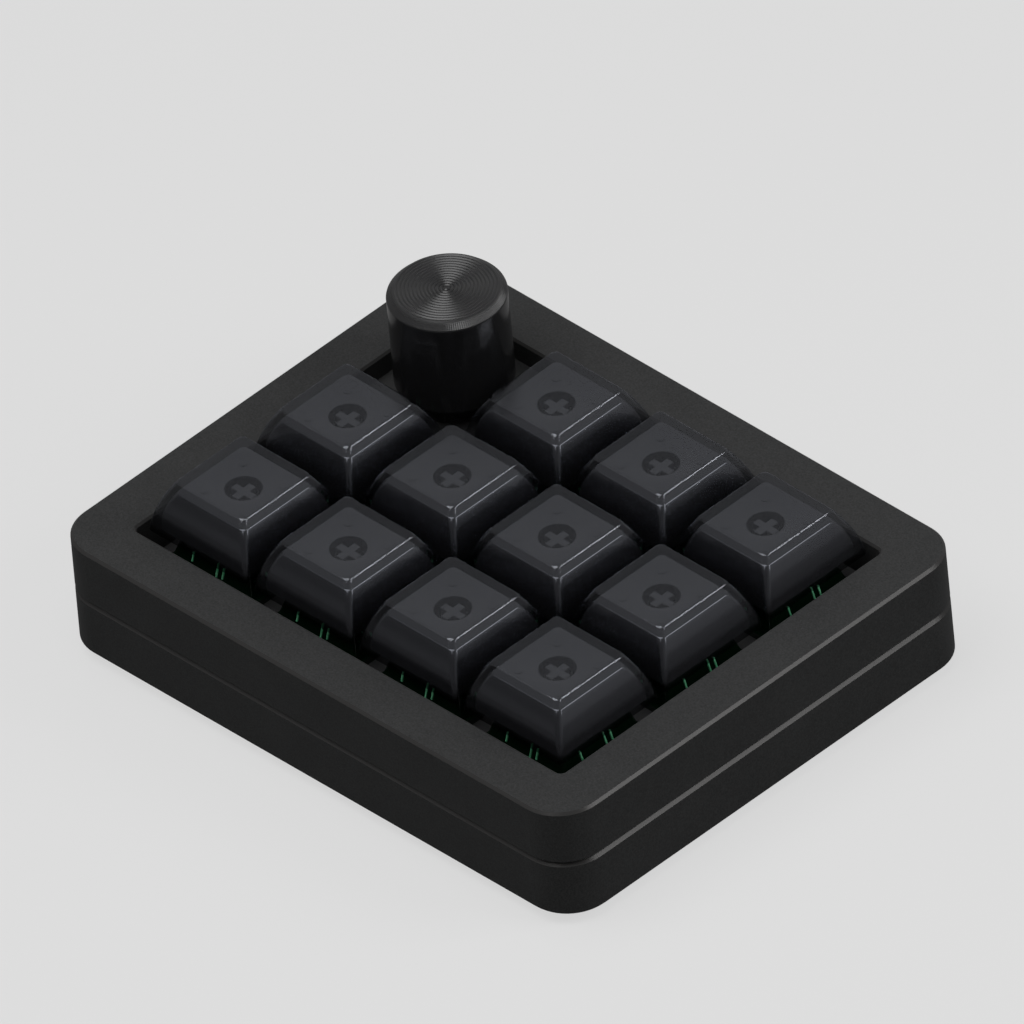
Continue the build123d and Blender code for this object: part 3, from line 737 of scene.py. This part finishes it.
bpy.ops.mesh.primitive_circle_add(
    vertices=knob_points, radius=bore_radius, fill_type="NGON", location=(0, 0, bore_roof)
)
bpy.ops.object.transform_apply(location=True)
turned = bpy.context.object
bpy.ops.object.mode_set(mode="EDIT")
choose("EDGE", lambda edge: edge.is_boundary)
last_radius, last_level = bore_radius, bore_roof
for radius, level in profile:
    bpy.ops.mesh.extrude_region_move(TRANSFORM_OT_translate={"value": (0, 0, level - last_level)})
    share = radius / last_radius
    bpy.ops.transform.resize(value=(share, share, 1), center_override=(0, 0, level))
    last_radius, last_level = radius, level
bpy.ops.mesh.edge_face_add()
bpy.ops.mesh.select_all(action="SELECT")
bpy.ops.mesh.normals_make_consistent(inside=False)
bpy.ops.object.mode_set(mode="OBJECT")
bpy.ops.mesh.primitive_cylinder_add(
    vertices=set_screw_points,
    radius=set_screw_radius,
    depth=knob_radius,
    location=(0, knob_radius / 2 + set_screw_start, set_screw_level),
    rotation=(math.pi / 2, 0, 0),
)
cut(turned, bpy.context.object)
bpy.ops.object.select_all(action="DESELECT")
turned.select_set(True)
bpy.ops.object.shade_smooth_by_angle(angle=math.radians(12))

turning_size = 0.0004
stroke_count, stroke_depth, stroke_end = 170, 0.00002, 0.00002
gloss_black, shade = new_finish("gloss_black_anodised")
turning = shade.noise(turning_size)
to_axis = (-knob_place[0], -knob_place[1], 0)
from_axis = shade.node("Mapping", None, {"Vector": shade.place(), "Location": to_axis})
out_x = shade.node("SeparateXYZ", None, {0: from_axis}, output="X")
out_y = shade.node("SeparateXYZ", None, {0: from_axis}, output="Y")
up_z = shade.node("SeparateXYZ", None, {0: from_axis}, output="Z")
around = shade.math("ARCTAN2", out_y, out_x)
on_chamfer = (up_z > knob_top - knob_chamfer) * (up_z < knob_top - rim_drop - stroke_end)
on_face = up_z > knob_top - 2 * ring_depth
strokes = shade.math("SINE", around * stroke_count) * on_chamfer
surface(
    gloss_black,
    {
        "Base Color": shade.blend(turning, (0.0052, 0.0052, 0.0057, 1), (0.009, 0.009, 0.0095, 1)),
        "Roughness": 0.14 + turning * 0.06 + on_face * 0.14,
        "Specular IOR Level": 0.42,
        "Normal": shade.bump(strokes, stroke_depth),
    },
)
knob = copy_to(turned, "turned_knob", knob_place)
bpy.data.objects.remove(turned)
paint(knob, gloss_black)
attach(knob, "knob")
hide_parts("knob")

# Floor and light: a pale table that keeps a faint shadow, a panel overhead, a soft box at the back right
# and a broad, weak fill at the front left. The room is brightest at the back left, with a weak glow at
# the back right, and looks plain to the camera.
floor_size = 40.0
backdrop_level, glow_share = 0.723, 0.85
shadow_level, bounce_level, mirror_level = 0.55, 0.26, 0.20
ambient_level, corner_glow = 0.27, 0.17
room_stops = ((0.47, 0.15), (1.0, 0.51))


def grey(level):
    """A grey of a level, as a colour."""
    return (level, level, level, 1)


def by_mirror(shade):
    """1 on a ray that a gloss or a clear piece sends on, and 0 on any other."""
    glossy = shade.node("LightPath", output="Is Glossy Ray")
    return glossy + shade.node("LightPath", output="Is Transmission Ray")


bpy.ops.mesh.primitive_plane_add(size=floor_size)
floor = bpy.context.object
floor.name = "floor"
pale_table, shade = new_finish("pale_table")
seen = shade.node("LightPath", output="Is Camera Ray")
shadowed = shade.node("BsdfDiffuse", None, {"Color": grey(shadow_level)})
glow = shade.node("Emission", None, {"Color": grey(1), "Strength": backdrop_level})
shown = shade.node("MixShader", None, {0: glow_share, 1: shadowed, 2: glow})
bounce = shade.node("BsdfDiffuse", None, {"Color": grey(bounce_level)})
mirror_glow = shade.node("Emission", None, {"Color": grey(1), "Strength": mirror_level})
unseen = shade.node("MixShader", None, {0: by_mirror(shade), 1: bounce, 2: mirror_glow})
cover(pale_table, shade.node("MixShader", None, {0: seen, 1: unseen, 2: shown}))
paint(floor, pale_table)

world = bpy.data.worlds.new("studio")
bpy.context.scene.world = world
world.use_nodes = True
shade = Shade(world.node_tree)
direction = shade.node("TexCoord", output="Generated")
across = shade.node("SeparateXYZ", None, {0: direction}, output="X")
along = shade.node("SeparateXYZ", None, {0: direction}, output="Y")
room = shade.node("ValToRGB", {"stops": room_stops}, {"Fac": (along - across) * 0.5 + 0.5})
room = room + shade.math("MAXIMUM", along + across, 0.0) * corner_glow
unseen = shade.blend(by_mirror(shade), grey(ambient_level), room)
seen = shade.node("LightPath", output="Is Camera Ray")
backdrop = shade.blend(seen, unseen, grey(backdrop_level))
world.node_tree.links.new(backdrop.socket, world.node_tree.nodes["Background"].inputs["Color"])


def panel(name, place, size, power):
    """Hangs a square area lamp at a place, facing the keypad."""
    lamp = bpy.data.lights.new(name, "AREA")
    lamp.shape = "SQUARE"
    lamp.size = size
    lamp.energy = power
    hung = bpy.data.objects.new(name, lamp)
    bpy.context.scene.collection.objects.link(hung)
    hung.location = place
    hung.rotation_euler = (-Vector(place)).to_track_quat("-Z", "Y").to_euler()


panel("overhead_panel", place=(-0.05, -0.17, 0.60), size=0.5, power=3.7)
panel("soft_box", place=(0.40, 0.26, 0.37), size=0.28, power=1.7)
panel("front_fill", place=(-0.65, -0.75, 0.80), size=0.9, power=0.75)

# Camera: a parallel view from the front right, above and slightly rolled.
# It aims beside the middle of the case's lower edge, so that the keypad stands low in the picture.
view_azimuth = math.radians(48.30)
view_elevation = math.radians(39.12)
view_roll = math.radians(-5.47)
view_width, view_distance = 0.13181, 0.5
case_edge_centre = Vector((0, 0, 0.00186))
shift_right, shift_up = -0.000686, 0.016328
back = Vector((
    math.sin(view_azimuth) * math.cos(view_elevation),
    -math.cos(view_azimuth) * math.cos(view_elevation),
    math.sin(view_elevation),
))
level_right = Vector((math.cos(view_azimuth), math.sin(view_azimuth), 0))
level_up = back.cross(level_right)
right = level_right * math.cos(view_roll) + level_up * math.sin(view_roll)
up = back.cross(right)
lens = bpy.data.cameras.new("camera")
lens.type = "ORTHO"
lens.ortho_scale = view_width
camera = bpy.data.objects.new("camera", lens)
bpy.context.scene.collection.objects.link(camera)
stand = case_edge_centre + right * shift_right + up * shift_up + back * view_distance
camera.matrix_world = Matrix.Translation(stand) @ Matrix((right, up, back)).transposed().to_4x4()
bpy.context.scene.camera = camera
bpy.context.scene.view_settings.view_transform = "Standard"
